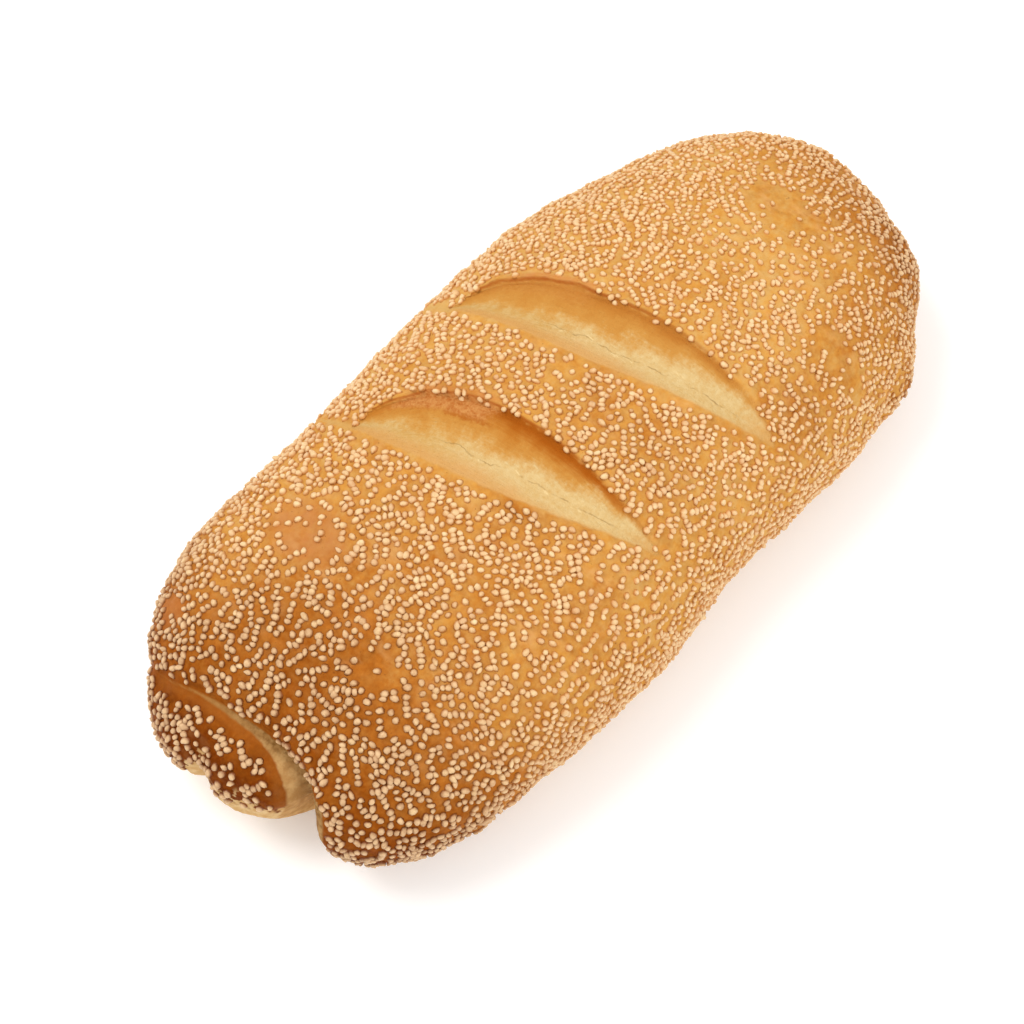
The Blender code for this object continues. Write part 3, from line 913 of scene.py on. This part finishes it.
def crumb_colour(across, share, is_far, middling, fine, fibres, grain):
    """Pale crumb along the cut, a browned roll of it under the lip, and browner crumb right under the lip
    that is partly painted shade.
    """
    uneven = middling * 0.50 + fine * 0.22 + fibres * 0.14 + grain * 0.10
    roll = attribute(share.tree, "roll") + uneven - 0.48
    # browner crumb right under the lip: partly browning, partly painted shade under it
    lip_browning_and_shade = spread(across + fibres * 0.14 + middling * 0.16, 0.86, 1.10)
    lip_browning_and_shade *= spread(share, 0.26, 0.36) * spread(share, 0.70, 0.90, 1.0, 0.25)
    lip_browning_and_shade *= spread(is_far, 0, 1, 1.0, FAR_LIP_BROWNING_AND_SHADE)
    golden = spread(roll, 0.0, 0.40) * spread(is_far, 0, 1, 1.0, FAR_GOLD)
    browned_and_shaded = mix_colours(lip_browning_and_shade, mix_colours(golden, GOLDEN_CRUMB, ROLL_CRUMB), BROWN_CRUMB)
    deeper = fine * 1.1 + middling * 0.6 + fibres * 0.4 + grain * 0.7 - 0.95
    pale = mix_colours(deeper + spread(share, 0.20, 0.45, 0.4, 0.0), PALE_CRUMB, DEEP_CRUMB)
    by_cut = across + middling * 0.24 + fibres * 0.12 - spread(share, 0.45, 0.75, 0.26, 0.08)
    by_cut = spread(by_cut, -0.04, 0.26, 0.9, 0.0) * spread(share, 0.85, 1.0, 0.8, 0.3)
    pale = mix_colours(by_cut, pale, EDGE_CRUMB)
    colour = mix_colours(spread(roll, -0.16, 0.16), pale, browned_and_shaded)
    tip = spread(share + fine * 0.06 + middling * 0.08, 0.93, 1.06)
    return mix_colours(tip, colour, TIP_CRUMB)


def with_skin(colour, across, share, is_far, middling, fine, fibres, grain):
    """The blotched skin at the left end of the roll, with a brown ridge where it ends."""
    top = across + fine * 0.12 + middling * 0.16
    ended = share + fine * 0.06
    skin = spread(top, 0.80, 0.92) * spread(share, 0.02, 0.08) * fade(ended, 0.33, 0.38)
    skin *= spread(is_far, 0, 1, 1.0, FAR_SKIN)
    blotches = spread(fine * 0.5 + fibres * 0.2 + grain * 0.4, 0.38, 0.72)
    colour = mix_colours(skin * 0.9, colour, mix_colours(blotches, SKIN_TAN, SKIN_RED))
    ridge = fade(abs(top - 0.86), 0.0, 0.05) * spread(ended, 0.22, 0.27) * fade(ended, 0.36, 0.40)
    return mix_colours(ridge * spread(is_far, 0, 1, 0.6, 0.0), colour, BROWN_CRUMB)


def with_crack(colour, across, share, is_far, opening):
    """The fine crack along the middle of a slash, and pale flakes beside it."""
    tree = colour.tree
    line = abs(across + noise(tree, 0.010, 4.0, 0.6, 3.1) * CRACK_WANDERING + is_far * 0.03)
    line = abs(line - CRACK_PLACE) * opening
    window = spread(share, 0.20, 0.32) * fade(share, 0.80, 0.92)
    flakes = spread(noise(tree, 0.0016, 3.0, 0.6, 2.3, (1, 3, 1)), 0.60, 0.70)
    colour = mix_colours(flakes * fade(line, 0.5, 3.0) * window * 0.5, colour, FLAKE)
    broken = spread(noise(tree, 0.006, 3.0, 0.6, 7.7), 0.38, 0.58)
    crack = fade(line, 0.05, 0.45) * broken * window
    return mix_colours(crack * 0.6, colour, CRACK), crack


def browned_and_shaded_crust(tree, middling, fine, mottled):
    """The crust away from the slashes and the fold, from golden to brown, and darker toward the near end
    partly as painted shade.
    """
    browning_and_shade = attribute(tree, "browning_and_shade")
    browned_and_shaded = browning_and_shade + noise(tree, 0.030, 2.0) * 0.30 + middling * 0.24 + mottled * 0.26 + fine * 0.24
    crust = colour_ramp(browned_and_shaded - 0.52, CRUST_STOPS)
    hued = spread(noise(tree, 0.0040, 3.0, 0.6, 4.7), 0.34, 0.66)
    crust = mix_colours(1.0, crust, mix_colours(hued, *HUES), "MULTIPLY")
    stripes = spread(noise(tree, 0.0060, 3.0, 0.6, 0.0, (0.8, 1.8, 0.8)), 0.45, 0.75)
    stripes *= spread(middling, 0.35, 0.65) * spread(browning_and_shade, 0.50, 0.80, 0.5, 0.1)
    crust = mix_colours(stripes, crust, STRETCHED_CRUST)
    reddened = attribute(tree, "red") * spread(mottled, 0.30, 0.65, 0.9, 0.5)
    crust = mix_colours(reddened, crust, RED_CRUST)
    pores = spread(noise(tree, 0.0011, 2.0, 0.5, 5.3), 0.70, 0.78)
    return mix_colours(pores * 0.6, crust, PORE)


def with_underside(crust, under, mottled):
    """The pale strip above the base, whose edge is broken up into spots."""
    spots = spread(noise(crust.tree, 0.0022, 1.0, 0.5, 6.4), 0.35, 0.65)
    base = mix_colours(spread(mottled, 0.35, 0.65), UNDERSIDE, UNDERSIDE_TAN)
    return mix_colours(spread(under + spots * 7.0, 10.0, 15.0, 0.0, 0.9), crust, base)


def with_lips(crust, beyond, ragged, share, opened, mottled):
    """The reddish strip and the brown lip along the far edge of a slash."""
    strip = spread(beyond, -1.0, 0.0) * fade(beyond, 1.6, 3.6) * opened
    strip *= spread(share, 0.05, 0.12) * fade(share, 0.26, 0.38)
    crust = mix_colours(strip * spread(mottled, 0.35, 0.65, 0.75, 0.35), crust, STRIP_RED)
    edge = beyond + ragged
    lip = spread(edge, -0.5, 0.0) * fade(edge, 0.2, 1.0) * spread(share, 0.35, 0.80, 0.9, 0.15)
    return mix_colours(lip * opened, crust, LIP_BROWN)


def with_tails(colour, share):
    """The pale crease that runs on past the left tip of a slash."""
    outside = share * -1.0
    width = spread(outside, 0.0, TAIL_LENGTH, 1.8, 0.5)
    tail = fade(attribute(share.tree, "off_cut") / width, 0.2, 1.3)
    tail *= spread(attribute(share.tree, "height"), 34.0, 40.0) * spread(outside, -0.03, 0.01)
    tail *= fade(outside, TAIL_LENGTH * 0.6, TAIL_LENGTH)
    return mix_colours(tail * 0.6, colour, DEEP_CRUMB)


def with_fold(colour, under, ragged, fine, mottled):
    """The fold's valley, from tan to cream with a shaded side, and the brown band beside it."""
    tree = colour.tree
    band = attribute(tree, "band") * spread(mottled, 0.30, 0.65, 0.25, 0.75) * fade(under, 5.0, 9.0)
    colour = mix_colours(band, colour, BAND_BROWN)
    pale = attribute(tree, "cream") * spread(mottled, 0.30, 0.65, 1.0, 0.45)
    shade = attribute(tree, "shade") * spread(fine, 0.30, 0.60, 0.9, 0.5)
    cream = mix_colours(shade, mix_colours(pale, VALLEY_TAN, VALLEY_CREAM), VALLEY_SHADE)
    valley = attribute(tree, "valley") + ragged + mottled * 0.8
    return mix_colours(spread(valley, 0.0, 1.1), colour, cream)


def crust_material():
    material, tree, shader = new_material("crust")
    middling = noise(tree, 0.008)
    fine = noise(tree, 0.0016, 4.0)
    mottled = noise(tree, 0.0034, 3.0, 0.6, 9.1)
    grain = noise(tree, 0.0007, 3.0, 0.7)
    ragged = fine * 0.7 - 0.35
    share, past_cut, opening, within, under, is_far = (
        attribute(tree, name) for name in ("share", "past_cut", "opening", "within", "under", "is_far"))
    under += middling * 6.0 + mottled * 10.0 + fine * 1.5
    beyond = past_cut - opening
    opened = spread(opening, 0.2, 1.2) * spread(within, -8.0, -6.5)
    crust = with_underside(browned_and_shaded_crust(tree, middling, fine, mottled), under, mottled)
    crust = with_lips(crust, beyond, ragged, share, opened, mottled)

    across = past_cut / math_node("MAXIMUM", opening, 0.5)
    fibres = slash_fibres(beyond, share)
    grains = (middling, fine, fibres, grain)
    crumb = crumb_colour(across, share, is_far, *grains)
    crumb = with_skin(crumb, across, share, is_far, *grains)
    crumb, crack = with_crack(crumb, across, share, is_far, opening)
    inside = spread(within + ragged + mottled * 1.6 + middling, 0.6, 2.0) * opened
    colour = with_tails(mix_colours(inside, crust, crumb), share)
    set_input(shader, "Base Color", with_fold(colour, under, ragged, fine, mottled))

    normal = bump(fine, 0.0003, 0.7)
    normal = bump(middling, 0.0008, 0.5, normal)
    normal = bump((fibres + grain) * inside, 0.0004, 0.8, normal)
    set_input(shader, "Normal", bump(crack, 0.0005, -0.8, normal))
    set_input(shader, "Roughness", spread(middling, 0.3, 0.7, 0.50, 0.66))
    shader.inputs["Specular IOR Level"].default_value = CRUST_SPECULAR
    return material


# Painted contact shade around each seed's foot, over crust browned there: on pale crust and on brown
SEED_BROWNED_SHADED_FOOT_PALE = srgb(208, 142, 74)
SEED_BROWNED_SHADED_FOOT_BROWN = srgb(124, 62, 16)
# The kinds of seeds, from the palest crust to the brownest: share and colour
SEED_KINDS = (
    ("seeds_ivory", 0.27, srgb(235, 205, 156)),
    ("seeds_cream", 0.26, srgb(232, 199, 150)),
    ("seeds_gold", 0.25, srgb(229, 194, 145)),
    ("seeds_toasted", 0.22, srgb(222, 184, 138)),
)
SEED_SPECULAR = 0.25


def seed_material(name, top):
    """Pale tops and darker sides, partly toasting and partly painted shade, and a ring of painted contact
    shade over browned crust at the foot of each seed.
    """
    material, tree, shader = new_material(name)
    mottle = noise(tree, 0.0011, 2.0)
    # painted contact shade at each seed's foot, darker on browner crust
    browned_shaded_foot = mix_colours(spread(attribute(tree, "browning_and_shade"), 0.35, 0.85), SEED_BROWNED_SHADED_FOOT_PALE, SEED_BROWNED_SHADED_FOOT_BROWN)
    darker = attribute(tree, "tone") * 0.50 + spread(mottle, 0.42, 0.62) * 0.4
    body = mix_colours(darker, top, mix_colours(0.5, top, browned_shaded_foot))
    # paler toward the top, darker down the sides: partly toasting, partly painted shade
    pale = spread(attribute(tree, "shade"), 0.10, 0.95)
    set_input(shader, "Base Color", mix_colours(pale, browned_shaded_foot, body))
    set_input(shader, "Normal", bump(noise(tree, 0.0006, 2.0), 0.0001, 0.5))
    set_input(shader, "Roughness", spread(mottle, 0.3, 0.7, 0.42, 0.56))
    shader.inputs["Specular IOR Level"].default_value = SEED_SPECULAR
    return material


# ---------------- stage
def set_up(name, data, azimuth, elevation, distance, target=(0, 0, 0)):
    """A camera or light in this direction from its target, in degrees, turned to face it."""
    flat = math.cos(math.radians(elevation))
    azimuth = math.radians(azimuth)
    away = Vector((math.sin(azimuth) * flat, -math.cos(azimuth) * flat, math.sin(math.radians(elevation))))
    thing = add_object(name, data)
    thing.location = Vector(target) + away * distance
    thing.rotation_euler = away.to_track_quat("Z", "Y").to_euler()
    return thing


def add_camera():
    data = bpy.data.cameras.new("camera")
    data.lens = CAMERA_LENS
    data.sensor_width = SENSOR_WIDTH
    data.clip_start = 0.01
    bpy.context.scene.camera = set_up("camera", data, *CAMERA_VIEW)


def add_floor():
    corners = np.array([(-1, -1, 0), (1, -1, 0), (1, 1, 0), (-1, 1, 0)]) * FLOOR_HALF_SIZE
    floor = mesh_object("floor", corners, np.array([(0, 1, 2, 3)]))
    material, _, shader = new_material("floor")
    shader.inputs["Base Color"].default_value = FLOOR_COLOUR
    shader.inputs["Roughness"].default_value = 0.9
    shader.inputs["Emission Color"].default_value = (1, 1, 1, 1)
    shader.inputs["Emission Strength"].default_value = FLOOR_GLOW
    floor.data.materials.append(material)


def add_light(name, azimuth, elevation, distance, size, power):
    data = bpy.data.lights.new(name, "AREA")
    data.shape = "DISK"
    data.size = size
    data.energy = power
    set_up(name, data, azimuth, elevation, distance)


def add_world():
    world = bpy.data.worlds.new("studio")
    world.use_nodes = True
    background = world.node_tree.nodes["Background"]
    background.inputs["Color"].default_value = WORLD_COLOUR
    background.inputs["Strength"].default_value = WORLD_STRENGTH
    bpy.context.scene.world = world
    bpy.context.scene.view_settings.view_transform = "Standard"


# ---------------- the scene
add_camera()
lattice, quads = box_lattice(CELLS)
points, fields = crust_surface(loaf_directions(lattice))
crust = mesh_object("crust", points, quads, fields)
crust.data.materials.append(crust_material())
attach(crust, "root")
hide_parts("loaf")

for seeds in build_seeds(points, quads, fields):
    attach(seeds, "root")

add_floor()
add_world()
for light in LIGHTS:
    add_light(*light)
